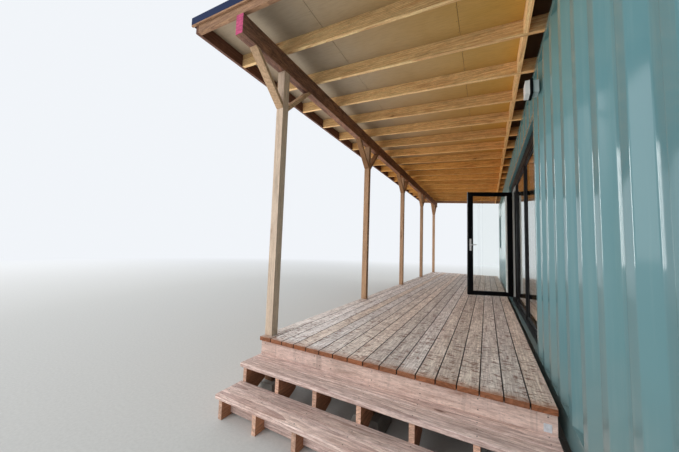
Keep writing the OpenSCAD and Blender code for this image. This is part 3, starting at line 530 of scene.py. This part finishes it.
def welded(node):
    """A node's mesh in whole faces, with each solid joined up by itself, also where two of them touch.

    The frame's faces come solid by solid, and a solid is whole when each edge has met its opposite.
    """
    mesh = frame["nodes"][node].data
    bm = bmesh.new()
    made = {}
    unmatched = set()
    for polygon in mesh.polygons:
        ring = []
        for vertex in (mesh.vertices[i] for i in polygon.vertices):
            key = tuple(round(value, 5) for value in vertex.co)
            if key not in made:
                made[key] = bm.verts.new(vertex.co)
            ring.append(made[key])
        if len(set(ring)) < 3:
            continue
        bm.faces.new(ring)
        for edge in zip(ring, ring[1:] + ring[:1]):
            if edge[::-1] in unmatched:
                unmatched.remove(edge[::-1])
            else:
                unmatched.add(edge)
        if not unmatched:
            made = {}
    bm.normal_update()
    bmesh.ops.dissolve_limit(bm, angle_limit=math.radians(0.5), verts=bm.verts, edges=bm.edges)
    return bm


def solids(node):
    """The lowest and highest corners of each separate solid of a node, at rest."""
    bm = welded(node)
    found = [corners([v.co for v in group]) for group in islands(bm)]
    bm.free()
    return found


def smooth_bends(bm, sharp_degrees=35):
    for face in bm.faces:
        face.smooth = True
    for edge in bm.edges:
        edge.smooth = len(edge.link_faces) == 2 and edge.calc_face_angle(0) < math.radians(sharp_degrees)


def rounded(bm, width, steps, sharp_degrees=30):
    limit = math.radians(sharp_degrees)
    sharp = [e for e in bm.edges if len(e.link_faces) == 2 and e.calc_face_angle(0) > limit]
    bmesh.ops.bevel(bm, geom=sharp, offset=width, segments=steps, profile=0.5, affect="EDGES",
                    clamp_overlap=True)


def add_grain(bm, seed, ring=False):
    """Gives each solid its tint and its own grain coordinates, along its longest side first.

    The faces across the grain are marked as ends, and the narrow faces of boards along y as sides, which
    timber
    darkens as painted shade in the gaps between boards. A ring is a solid of boards in more than one
    direction:
    there each face's own longest side counts, and no end shows.
    """
    random_source = random.Random(seed)
    grain = bm.loops.layers.float_vector.new("grain")
    tint = bm.faces.layers.float.new("tint")
    end = bm.faces.layers.float.new("end")
    side = bm.faces.layers.float.new("side")
    for group in islands(bm):
        low, high = corners([v.co for v in group])
        middle = (low + high) / 2
        axis = longest(low, high)
        # Each solid reads the growth rings at a place of its own, a little off their heart line
        shift = Vector((random_source.uniform(0, 40), random_source.uniform(-0.09, 0.09),
                        random_source.uniform(0.03, 0.16)))
        shade = random_source.random()
        for face in {face for vertex in group for face in vertex.link_faces}:
            if ring:
                axis = longest(*corners([v.co for v in face.verts]))
            first, second = [a for a in (X, Y, Z) if a != axis]
            for loop in face.loops:
                away = loop.vert.co - middle
                loop[grain] = Vector((loop.vert.co[axis] - low[axis], away[first], away[second])) + shift
            face[tint] = shade
            face[end] = 1.0 if abs(face.normal[axis]) > 0.75 and not ring else 0.0
            face[side] = 1.0 if axis == Y and abs(face.normal.x) > 0.3 else 0.0


def stand(bm, name, materials, body):
    """Makes a mesh a piece of the scene that rides on a body."""
    mesh = bpy.data.meshes.new(name)
    bm.to_mesh(mesh)
    bm.free()
    piece = bpy.data.objects.new(name, mesh)
    bpy.context.scene.collection.objects.link(piece)
    for material in materials:
        mesh.materials.append(material)
    weigh = piece.modifiers.new("weigh", "WEIGHTED_NORMAL")
    weigh.keep_sharp = True
    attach(piece, body)
    return piece


def dress(node, materials, body, edge=EDGE, steps=2, grained=False, layer=None):
    """Stands a finished copy of a node in its place. layer picks a face's material by its centre."""
    bm = welded(node)
    if edge > 0:
        rounded(bm, edge, steps)
    if grained:
        bm.normal_update()
        add_grain(bm, node, node in RINGS)
    if layer is not None:
        for face in bm.faces:
            face.material_index = layer(face.calc_center_median())
    smooth_bends(bm)
    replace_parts(stand(bm, node + "_finish", materials, body), node)


def glaze(node, material):
    """Gives a node that keeps its own mesh a clear material, and lets the lamps shine through it."""
    pane = frame["nodes"][node]
    pane.data.materials.clear()
    pane.data.materials.append(material)
    pane.visible_shadow = False


class Shapes:
    """Collects many small closed shapes into one piece."""

    def __init__(self, frame_of=Matrix.Identity(4)):
        self.bm = bmesh.new()
        self.frame_of = frame_of

    def stud(self, place, axis, radius, height, sides=10, crown=0.7):
        """A nail, screw or bolt head that stands on place along axis."""
        axis = Vector(axis).normalized()
        turn = axis.to_track_quat("Z", "Y").to_matrix().to_4x4()
        matrix = self.frame_of @ Matrix.Translation(Vector(place) + axis * height / 2) @ turn
        bmesh.ops.create_cone(self.bm, cap_ends=True, segments=sides, radius1=radius, radius2=radius * crown,
                              depth=height, matrix=matrix)

    def block(self, low, high, edge=0.0):
        """A block between two opposite corners, its edges rounded by edge metres."""
        low, high = Vector(low), Vector(high)
        size = high - low
        matrix = self.frame_of @ Matrix.Translation((low + high) / 2) @ Matrix.Diagonal((*size, 1.0))
        made = bmesh.ops.create_cube(self.bm, size=1.0, matrix=matrix)["verts"]
        if edge:
            edges = list(dict.fromkeys(e for v in made for e in v.link_edges))
            bmesh.ops.bevel(self.bm, geom=edges, offset=edge, segments=2, profile=0.5, affect="EDGES")

    def ring(self, low, high, width, normal, edge=0.0):
        """A rectangular frame of strips along the inside of a box's border, seen along its normal axis."""
        a, b = [axis for axis in (X, Y, Z) if axis != normal]
        for axis, other in ((a, b), (b, a)):
            inset = width if axis == a else 0.0
            for side in (0, 1):
                strip_low, strip_high = list(low), list(high)
                if side:
                    strip_low[other] = high[other] - width
                else:
                    strip_high[other] = low[other] + width
                strip_low[axis] += inset
                strip_high[axis] -= inset
                self.block(strip_low, strip_high, edge)

    def finish(self, name, material, body):
        smooth_bends(self.bm)
        return stand(self.bm, name, [material], body)


def deck_nails(material, from_side=0.022, stray_x=0.004, stray_y=0.008):
    """Two nails through every deck board at each joist."""
    shapes = Shapes()
    jitter = random.Random("deck nails")
    joists = [(low.y + high.y) / 2 for low, high in solids("deck_joists")]
    for low, high in solids("deck_boards"):
        for y in joists:
            for x in (low.x + from_side, high.x - from_side):
                place = (x + jitter.uniform(-stray_x, stray_x), y + jitter.uniform(-stray_y, stray_y), high.z)
                shapes.stud(place, (0, 0, 1), NAIL_R, NAIL_UP)
    shapes.finish("deck_nails", material, CABIN)


def tread_nails(material, from_front=0.034, from_back=0.03, stray_x=0.005, stray_y=0.004):
    """Two nails through every tread board into each stringer."""
    shapes = Shapes()
    jitter = random.Random("tread nails")
    stringers = [(low.x + high.x) / 2 for low, high in solids("step_stringers")]
    for low, high in solids("upper_tread") + solids("lower_tread"):
        for x in stringers:
            for y in (low.y + from_front, high.y - from_back):
                place = (x + jitter.uniform(-stray_x, stray_x), y + jitter.uniform(-stray_y, stray_y), high.z)
                shapes.stud(place, (0, 0, 1), NAIL_R, NAIL_UP)
    shapes.finish("tread_nails", material, CABIN)


def rim_nails(material, from_joint=0.03, rows=(0.03, 0.1)):
    """Nails through the near rim board at each stringer, and on both sides of its joint."""
    shapes = Shapes()
    low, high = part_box("deck_rim")
    stringers = [(a.x + b.x) / 2 for a, b in solids("step_stringers")]
    joint = low[X] + RIM_JOINT
    for x in stringers + [joint - from_joint, joint + from_joint]:
        for down in rows:
            shapes.stud((x, low[Y], high[Z] - down), (0, -1, 0), NAIL_R, NAIL_UP)
    shapes.finish("rim_nails", material, CABIN)


def brace_nails(material, touching=0.002):
    """Two nails at the foot and two at the head of every knee brace, on both its faces."""
    shapes = Shapes()
    post_faces = [high.y for low, high in solids("roof_posts")]
    foot_in, foot_rows = 0.02, (0.035, 0.06)
    head_ins, head_down = (0.05, 0.08), 0.018
    for low, high in solids("knee_braces"):
        rises_along_y = any(abs(low.y - face) < touching for face in post_faces)
        foot, head, along = (low.y, high.y, 1) if rises_along_y else (high.y, low.y, -1)
        for x, out in ((high.x, 1), (low.x, -1)):
            for up in foot_rows:
                shapes.stud((x, foot + along * foot_in, low.z + up), (out, 0, 0), NAIL_R, NAIL_UP)
            for back in head_ins:
                shapes.stud((x, head - along * back, high.z - head_down), (out, 0, 0), NAIL_R, NAIL_UP)
    shapes.finish("brace_nails", material, CABIN)


def rim_strap(material, from_side=0.029, down=0.069, width=0.042, height=0.049, thick=0.0015):
    """A small galvanised plate nailed on the near rim board beside the container."""
    shapes = Shapes()
    nail_in_x, nail_in_z, nail_r, nail_up = 0.009, 0.01, 0.0035, 0.001
    low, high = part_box("deck_rim")
    x1, z1 = high[X] - from_side, high[Z] - down
    x0, z0 = x1 - width, z1 - height
    shapes.block((x0, low[Y] - thick, z0), (x1, low[Y], z1), 0.0005)
    for x in (x0 + nail_in_x, x1 - nail_in_x):
        for z in (z0 + nail_in_z, z1 - nail_in_z):
            shapes.stud((x, low[Y] - thick, z), (0, -1, 0), nail_r, nail_up)
    shapes.finish("rim_strap", material, CABIN)


def surface_of(node):
    mesh = frame["nodes"][node].data
    return BVHTree.FromPolygons([v.co for v in mesh.vertices], [p.vertices for p in mesh.polygons])


def sheathing_nails(material, pitch=0.15, from_edge=0.012, stray_x=0.003, stray_y=0.02):
    """Nail points along both sides of every joint of the roof sheathing, seen from below."""
    shapes = Shapes()
    first, point_r, point_down, start_z = 0.08, 0.0032, 0.0012, 0.6
    sheets = sorted(solids("roof_sheathing"), key=lambda box: box[0].x)
    tree = surface_of("roof_sheathing")
    jitter = random.Random("sheathing nails")
    for (low, high), (after, _) in zip(sheets, sheets[1:]):
        y = low.y + first
        while y < high.y:
            for x in (high.x - from_edge, after.x + from_edge):
                x += jitter.uniform(-stray_x, stray_x)
                hit = tree.ray_cast(Vector((x, y, start_z)), Vector((0, 0, 1)))[0]
                if hit is not None:
                    shapes.stud(hit, (0, 0, -1), point_r, point_down, 6)
            y += pitch + jitter.uniform(-stray_y, stray_y)
    shapes.finish("sheathing_nails", material, CABIN)


def crests(tree, low, high, x, step=0.004, margin=0.02, flat=0.002):
    """The middles, along y, of a ribbed roof's ribs."""
    rows = []
    y = low[Y] + margin
    while y < high[Y] - margin:
        rows.append((y, tree.ray_cast(Vector((x, y, high[Z] + ABOVE)), Vector((0, 0, -1)))[0]))
        y += step
    top = max(hit.z for _, hit in rows if hit is not None)
    found = []
    run = []
    for y, hit in rows:
        if hit is not None and hit.z > top - flat:
            run.append(y)
        elif run:
            found.append((run[0] + run[-1]) / 2)
            run = []
    return found


def roof_screws(material, row_pitch=0.62, margin=0.15):
    """Washered screws through the covering's ribs, in rows along the building."""
    shapes = Shapes()
    washer_r, washer_t, head_r, head_t = 0.009, 0.0015, 0.0055, 0.0045
    low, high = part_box("roof_covering")
    tree = surface_of("roof_covering")
    span = high[X] - low[X] - 2 * margin
    rows = int(span / row_pitch) + 1
    for y in crests(tree, low, high, (low[X] + high[X]) / 2):
        for i in range(rows):
            x = low[X] + margin + i * span / (rows - 1)
            hit, normal = tree.ray_cast(Vector((x, y, high[Z] + ABOVE)), Vector((0, 0, -1)))[:2]
            shapes.stud(hit, normal, washer_r, washer_t, 10, 0.9)
            shapes.stud(hit + normal * washer_t, normal, head_r, head_t, 6, 0.92)
    shapes.finish("roof_screws", material, CABIN)


def cargo_gaskets(rubber, clear=0.001, from_front=0.004, depth=0.024):
    """Rubber strips that close the gaps round both cargo door leaves."""
    shapes = Shapes()
    left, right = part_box("cargo_door_left"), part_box("cargo_door_right")
    gap = right[0][X] - left[1][X]
    reach = gap - clear
    width = gap - 1.5 * clear
    for low, high in (left, right):
        front = low[Y] + from_front
        outer_low = (low[X] - reach, front, low[Z] - reach)
        outer_high = (high[X] + reach, front + depth, high[Z] + reach)
        shapes.ring(outer_low, outer_high, width, Y, RUBBER_EDGE)
    shapes.finish("cargo_gaskets", rubber, CABIN)


def pane_beads(shapes, low, high):
    """Rubber beads round a pane, on its two faces across x."""
    for x0, x1 in ((low[X] - BEAD_OUT, low[X]), (high[X], high[X] + BEAD_OUT)):
        shapes.ring((x0, low[Y], low[Z]), (x1, high[Y], high[Z]), BEAD_WIDTH, X, RUBBER_EDGE)


def glazing_gaskets(rubber):
    """Rubber beads round the panes of the fixed lights and the window."""
    shapes = Shapes()
    for low, high in solids("light_glass") + solids("window_glass"):
        pane_beads(shapes, low, high)
    shapes.finish("glazing_gaskets", rubber, CABIN)


def door_seals(pale, from_front=0.012, width=0.036, thick=0.0015, edge=0.0005):
    """Pale weather strips in the doorway's rebate, on both jambs and under the head."""
    shapes = Shapes()
    low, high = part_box("glazing_frame")
    lights = solids("light_glass")
    y1 = high[Y] - FRAME_MEMBER
    y0 = max(b.y for a, b in lights) + SASH_MEMBER + FRAME_MEMBER
    z1 = max(b.z for a, b in lights) + SASH_MEMBER
    z0 = min(a.z for a, b in lights) - SASH_MEMBER
    x0 = low[X] + from_front
    x1 = x0 + width
    shapes.block((x0, y1 - thick, z0), (x1, y1, z1), edge)
    shapes.block((x0, y0, z0), (x1, y0 + thick, z1), edge)
    shapes.block((x0, y0 + thick, z1 - thick), (x1, y1 - thick, z1), edge)
    shapes.finish("door_seals", pale, CABIN)


def leaf_frame():
    """The frame that turns with the door's leaf: its origin is the hinge's, and the leaf lies along -y."""
    hinge = Vector(frame["record"]["behaviour"]["joints"][0]["pos_m"])
    return Matrix.Translation(hinge) @ Matrix.Rotation(-LEAF_OPEN, 4, "Z")


def leaf_box(node):
    """The lowest and highest corners of a node of the door, in the leaf's own frame."""
    back = leaf_frame().inverted()
    return corners([back @ v.co for v in frame["nodes"][node].data.vertices])


def leaf_gaskets(rubber):
    """Rubber beads round the pane of the door's leaf."""
    shapes = Shapes(leaf_frame())
    pane_beads(shapes, *leaf_box("door_glass"))
    shapes.finish("leaf_gaskets", rubber, DOOR)


def leaf_strip(pale, width=0.026):
    """A pale strip beside the leaf's hinge stile, on both faces of the pane."""
    shapes = Shapes(leaf_frame())
    low, high = leaf_box("door_glass")
    for x in (low.x - 2 * BEAD_OUT, high.x + BEAD_OUT):
        shapes.block((x, high.y - width, low.z), (x + BEAD_OUT, high.y, high.z), RUBBER_EDGE)
    shapes.finish("leaf_strip", pale, DOOR)


def door_lock(metal, plate_t=0.006, down=0.07):
    """The lock's cylinder below the lever, its lower end, and the screws of its plate, on both faces."""
    shapes = Shapes(leaf_frame())
    low, high = leaf_box("door_glass")
    stile_y = low.y - LEAF_STILE / 2
    handle_low, handle_high = leaf_box("door_handle")
    lock_z = (handle_low.z + handle_high.z) / 2 - down
    # Each round piece's height over the lock, radius, height off the plate, sides, and crown
    cylinder = (0.0, 0.0085, 0.006, 20, 0.95)
    lower_end = (-0.014, 0.005, 0.005, 12, 0.95)
    low_screw = (-0.035, 0.004, 0.0015, 12, 0.8)
    high_screw = (0.175, 0.004, 0.0015, 12, 0.8)
    for out in (-1, 1):
        face = (low.x + high.x) / 2 + out * (LEAF_T / 2 + plate_t)
        for up, radius, height, sides, crown in (cylinder, lower_end, low_screw, high_screw):
            shapes.stud((face, stile_y, lock_z + up), (out, 0, 0), radius, height, sides, crown)
    shapes.finish("door_lock", metal, DOOR)


def lamp_layer(centre):
    """The wall light's layers out from the wall: a grey box, a black rim, and a pale diffuser."""
    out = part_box("wall_light")[1][X] - centre.x
    if out < LAMP_BOX_OUT:
        return 0
    return 1 if out < LAMP_RIM_OUT else 2


place_camera()
studio()

# Timbers. The far posts, and the roof's timber and sheathing towards the far end, get painted shade: browner
# and darker than the near ones
deck_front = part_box("deck_boards")[0][Y]
post_places = sorted((low.y + high.y) / 2 for low, high in solids("roof_posts"))
# Painted shade: a tone, and the two places along y between which it comes in
post_far_shade = (srgb(206, 184, 164), post_places[0] + 0.3, post_places[1] - 0.3)
roof_far_shade = (srgb(236, 206, 158), post_places[0] + 0.8, post_places[2])
board_ends = (srgb(168, 116, 84), deck_front, deck_front + 0.1)
# The deck's darker narrow board faces are painted shade in the gaps, partly dirt on the edges
deck_wood = timber("deck_wood", srgb(255, 246, 234), srgb(132, 94, 80), srgb(228, 212, 208), 0.4, knots=0.6,
                   streaks=0.56, stains=0.26, mottle=0.36, marks=(8.0, 64.0), saw=0.9, rough=0.62,
                   end=srgb(160, 104, 74), front=board_ends, sides=0.9, hues=1.0)
step_wood = timber("step_wood", srgb(255, 230, 214), srgb(156, 110, 92), srgb(226, 206, 206), 0.42, knots=0.7,
                   rings=0.8, streaks=0.85, stains=0.32, mottle=0.34, end=srgb(190, 142, 112))
rim_wood = timber("rim_wood", srgb(234, 208, 192), srgb(160, 118, 98), srgb(210, 188, 184), 0.48, knots=0.7,
                  rings=0.5, streaks=0.62, stains=0.36, drips=0.4, mottle=0.26)
saw_wood = timber("saw_wood", srgb(206, 150, 116), srgb(136, 88, 62), end=srgb(228, 186, 162))
frame_wood = timber("frame_wood", srgb(150, 116, 90), srgb(98, 68, 48))
post_wood = timber("post_wood", srgb(232, 208, 184), srgb(168, 134, 106), srgb(204, 190, 174), 0.4,
                   stains=0.24, mottle=0.15, painted_far_shade=post_far_shade)
brace_wood = timber("brace_wood", srgb(204, 172, 138), srgb(140, 104, 76), knots=0.4, mottle=0.2,
                    painted_far_shade=post_far_shade)
barge_wood = timber("barge_wood", srgb(186, 146, 112), srgb(104, 70, 56), knots=0.6, streaks=0.6, mottle=0.3)
rafter_wood = timber("rafter_wood", srgb(255, 226, 168), srgb(196, 122, 68), knots=1.0, rings=0.5,
                     streaks=0.6, mottle=0.2, painted_far_shade=roof_far_shade)
dark_wood = timber("dark_wood", srgb(112, 78, 62), srgb(60, 38, 32))
beam_wood = timber("beam_wood", srgb(82, 64, 72), srgb(40, 32, 42), srgb(162, 116, 84), 0.75,
                   patches=(1.9, 7.0), streaks=0.7, stains=0.55, mottle=0.5, end=srgb(190, 78, 118),
                   painted_far_shade=roof_far_shade)
floor_ply = timber("floor_ply", srgb(190, 156, 112), srgb(150, 112, 72), knots=0.2)
# The ceiling's dark colour over the container is painted shade
ceiling_board = sheet_board("ceiling_board", srgb(162, 146, 124), srgb(204, 156, 72), turn_from=-1.9,
                            turn_to=0.1, painted_shade_colour=srgb(64, 46, 30), painted_shade_from=0.04, painted_far_shade=roof_far_shade)

# Paints, metals, boards, concrete and glass
# The green paint's third colour is a painted reflection towards the top of the walls
green_paint = paint("green_paint", srgb(92, 132, 138), srgb(136, 162, 158), srgb(98, 128, 120),
                    roughness=0.26, gloss=0.8)
navy_metal = paint("navy_metal", srgb(28, 42, 76), srgb(56, 68, 98), roughness=0.5, streaks=0.15, gloss=0.25)
black_frame = plain_metal("black_frame", srgb(20, 21, 23), 0.0, 0.3, specular=0.02)
rubber = plain_metal("rubber", srgb(20, 20, 21), 0.0, 0.65)
zinc = plain_metal("zinc_steel", srgb(176, 180, 182), 0.85, 0.4)
galvanised = plain_metal("galvanised", srgb(226, 230, 236), 0.2, 0.45, mottle=0.2, grain_scale=240.0)
nail_steel = plain_metal("nail_steel", srgb(92, 88, 86), 0.7, 0.5)
satin = plain_metal("satin_metal", srgb(240, 242, 244), 0.3, 0.3, mottle=0.05)
white_board = board_paint("white_board", srgb(236, 236, 230), joint_pitch=1.22)
pale_seal = board_paint("pale_seal", srgb(236, 240, 238))
lamp_body = board_paint("lamp_body", srgb(188, 204, 206), 0.45)
lamp_face = board_paint("lamp_face", srgb(238, 238, 236), 0.3)
concrete_mat = concrete("concrete")
glass = clear_glass("clear_glass")

# What each of the record's slots gets, and the nodes that have a timber of their own
WOODS = {"deck_wood": deck_wood, "step_wood": step_wood, "frame_wood": frame_wood, "post_wood": post_wood,
         "rafter_wood": rafter_wood, "dark_wood": dark_wood, "floor_ply": floor_ply}
COATS = {"green_paint": green_paint, "navy_metal": navy_metal, "black_frame": black_frame,
         "zinc_steel": zinc, "satin_metal": satin, "white_board": white_board, "concrete": concrete_mat,
         "ceiling_board": ceiling_board}
OWN_WOODS = {"deck_rim": rim_wood, "roof_beam": beam_wood, "step_stringers": saw_wood,
             "knee_braces": brace_wood, "barge_rafters": barge_wood, "barge_strips": barge_wood}

# Boards that run round in one solid, boards with more rounded edges, and pressed sheets that have none
RINGS = ("deck_rim",)
EASED = {"deck_boards": 0.0026, "upper_tread": 0.003, "lower_tread": 0.003}
PRESSED = ("side_wall_near", "side_wall_header", "side_wall_far", "back_wall", "end_wall", "container_roof",
           "roof_covering", "roof_trim")

DOOR_NODES = frame["record"]["behaviour"]["bodies"][DOOR]
for part in frame["record"]["subparts"]:
    node, slot = part["node"], part["material_slot"]
    body = DOOR if node in DOOR_NODES else CABIN
    if node == "wall_light":
        dress(node, [lamp_body, black_frame, lamp_face], body, edge=0.003, layer=lamp_layer)
    elif slot in WOODS:
        wood = OWN_WOODS.get(node, WOODS[slot])
        dress(node, [wood], body, edge=EASED.get(node, EDGE), grained=True)
    elif slot == "clear_glass":
        glaze(node, glass)
    else:
        dress(node, [COATS[slot]], body, edge=0.0 if node in PRESSED else EDGE)

deck_nails(nail_steel)
tread_nails(nail_steel)
rim_nails(nail_steel)
brace_nails(nail_steel)
rim_strap(galvanised)
sheathing_nails(nail_steel)
roof_screws(navy_metal)
cargo_gaskets(rubber)
glazing_gaskets(rubber)
door_seals(pale_seal)
leaf_gaskets(rubber)
leaf_strip(pale_seal)
door_lock(satin)
